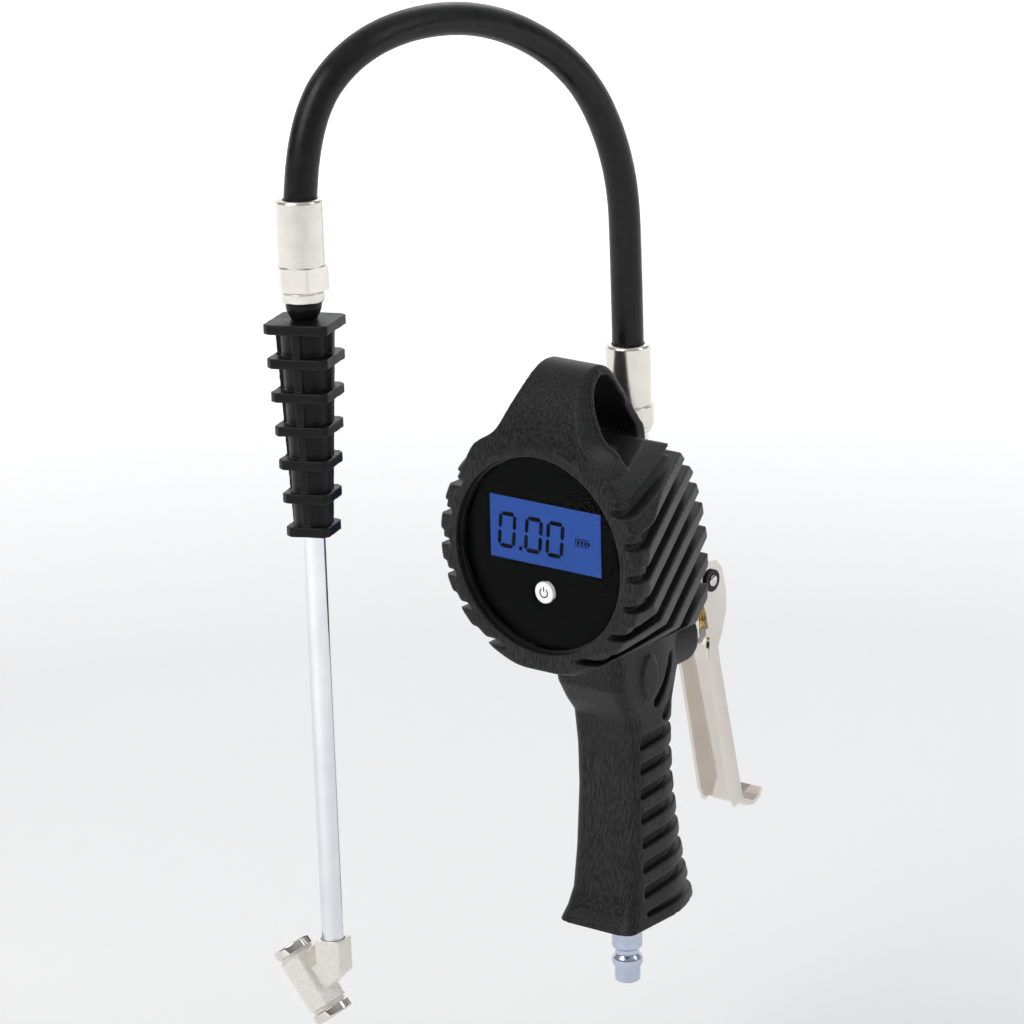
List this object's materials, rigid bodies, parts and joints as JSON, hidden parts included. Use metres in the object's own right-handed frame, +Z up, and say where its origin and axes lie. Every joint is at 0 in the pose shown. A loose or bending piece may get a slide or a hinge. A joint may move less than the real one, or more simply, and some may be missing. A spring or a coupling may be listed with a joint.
{
  "type": "tire inflator",
  "caption": "hand-held digital tyre inflator with a rubber-booted pistol body, a round backlit gauge, a squeeze lever, an arched hose and a long wand with a twin chuck",
  "frame": {"origin": "top of the hanging loop's opening, where a hook carries the tool", "axes": "+Z up along the hanging tool, -Y out of the display towards the reader, +X to the reader's right"},
  "size_m": [0.0938, 0.2489, 0.3989],
  "materials": {
    "rubber_boot": "moulded charcoal rubber, satin, fine vertical grain",
    "gauge_case": "black moulded plastic, matte",
    "battery_door": "black moulded plastic, matte",
    "door_screws": "zinc plated steel",
    "lens": "clear polished window",
    "lens_gasket": "black nitrile rubber",
    "faceplate": "gloss black printed mask",
    "lcd_panel": "blue backlit liquid crystal panel with dark digits",
    "power_button": "white key with a dark power symbol",
    "button_switch": "black tactile switch",
    "circuit_board": "green solder-masked board",
    "battery_holder": "black plastic",
    "battery_upper": "plain printed cell jacket",
    "battery_lower": "plain printed cell jacket",
    "battery_contacts": "spring steel",
    "pressure_sensor": "steel can",
    "sensor_seal": "black nitrile rubber",
    "valve_body": "nickel plated, fine satin",
    "rear_plug": "nickel plated, fine satin",
    "handle_tube": "mill finish",
    "inlet_nipple": "bluish zinc plated steel, bright",
    "nipple_seal": "black nitrile rubber",
    "valve_seat": "black nitrile rubber",
    "valve_plunger": "turned brass",
    "plunger_seal": "black nitrile rubber",
    "plunger_spring": "spring steel",
    "gland_nut": "turned brass",
    "lever": "bright nickel plated sheet, warm",
    "pivot_pin": "zinc plated steel",
    "pin_clips": "black oxide spring steel",
    "outlet_adapter": "nickel plated, fine satin",
    "body_ferrule": "nickel plated, fine satin",
    "hose": "smooth black rubber",
    "wand_ferrule": "nickel plated, fine satin",
    "swivel_nut": "nickel plated, fine satin",
    "swivel_ring": "nickel plated, fine satin",
    "grip_cone": "black moulded rubber, satin",
    "wand_grip": "black moulded rubber, satin",
    "wand_tube": "bright chrome plated tube",
    "chuck_body": "sand-blasted nickel plated casting, pale",
    "chuck_cap_upper": "polished nickel",
    "chuck_cap_lower": "polished nickel",
    "chuck_seal_upper": "black nitrile rubber",
    "chuck_seal_lower": "black nitrile rubber",
    "chuck_pin_upper": "turned brass",
    "chuck_pin_lower": "turned brass",
    "chuck_spring_upper": "spring steel",
    "chuck_spring_lower": "spring steel"
  },
  "bodies": {
    "base": {"rubber_boot": "rubber_boot", "gauge_case": "gauge_case", "battery_door": "battery_door", "door_screws": "door_screws", "lens": "lens", "lens_gasket": "lens_gasket", "faceplate": "faceplate", "lcd_panel": "lcd_panel", "button_switch": "button_switch", "circuit_board": "circuit_board", "battery_holder": "battery_holder", "battery_upper": "battery_upper", "battery_lower": "battery_lower", "battery_contacts": "battery_contacts", "pressure_sensor": "pressure_sensor", "sensor_seal": "sensor_seal", "valve_body": "valve_body", "rear_plug": "rear_plug", "handle_tube": "handle_tube", "inlet_nipple": "inlet_nipple", "nipple_seal": "nipple_seal", "valve_seat": "valve_seat", "plunger_seal": "plunger_seal", "plunger_spring": "plunger_spring", "gland_nut": "gland_nut", "pivot_pin": "pivot_pin", "pin_clips": "pin_clips", "outlet_adapter": "outlet_adapter", "body_ferrule": "body_ferrule", "hose": "hose", "wand_ferrule": "wand_ferrule", "swivel_nut": "swivel_nut", "swivel_ring": "swivel_ring", "grip_cone": "grip_cone", "wand_grip": "wand_grip", "wand_tube": "wand_tube", "chuck_body": "chuck_body", "chuck_cap_upper": "chuck_cap_upper", "chuck_cap_lower": "chuck_cap_lower", "chuck_seal_upper": "chuck_seal_upper", "chuck_seal_lower": "chuck_seal_lower", "chuck_spring_upper": "chuck_spring_upper", "chuck_spring_lower": "chuck_spring_lower"},
    "lever": {"lever": "lever"},
    "plunger": {"valve_plunger": "valve_plunger"},
    "power_button": {"power_button": "power_button"},
    "chuck_pin_upper": {"chuck_pin_upper": "chuck_pin_upper"},
    "chuck_pin_lower": {"chuck_pin_lower": "chuck_pin_lower"}
  },
  "joints": [
    {"name": "lever_pivot", "type": "hinge", "parent": "base", "child": "lever", "pos_m": [0, 0.073, -0.1005], "axis": [-1, 0, 0], "range_deg": [0, 13], "stiffness_Nm_per_rad": 0.4, "springref_deg": -8.59},
    {"name": "plunger_slide", "type": "slide", "parent": "base", "child": "plunger", "axis": [0, -1, 0], "range_m": [0, 0.0045], "deforming": ["plunger_spring"]},
    {"name": "power_press", "type": "slide", "parent": "base", "child": "power_button", "axis": [0, 1, 0], "range_m": [0, 0.0006], "stiffness_N_per_m": 200},
    {"name": "upper_pin_slide", "type": "slide", "parent": "base", "child": "chuck_pin_upper", "axis": [0.5834, 0.0805, -0.8082], "range_m": [0, 0.0014], "stiffness_N_per_m": 200, "deforming": ["chuck_spring_upper"]},
    {"name": "lower_pin_slide", "type": "slide", "parent": "base", "child": "chuck_pin_lower", "axis": [-0.5834, -0.0805, 0.8082], "range_m": [0, 0.0014], "stiffness_N_per_m": 200, "deforming": ["chuck_spring_lower"]}
  ],
  "couplings": [
    {"joint": "plunger_slide", "follows": "lever_pivot", "m_per_rad": 0.0193}
  ]
}
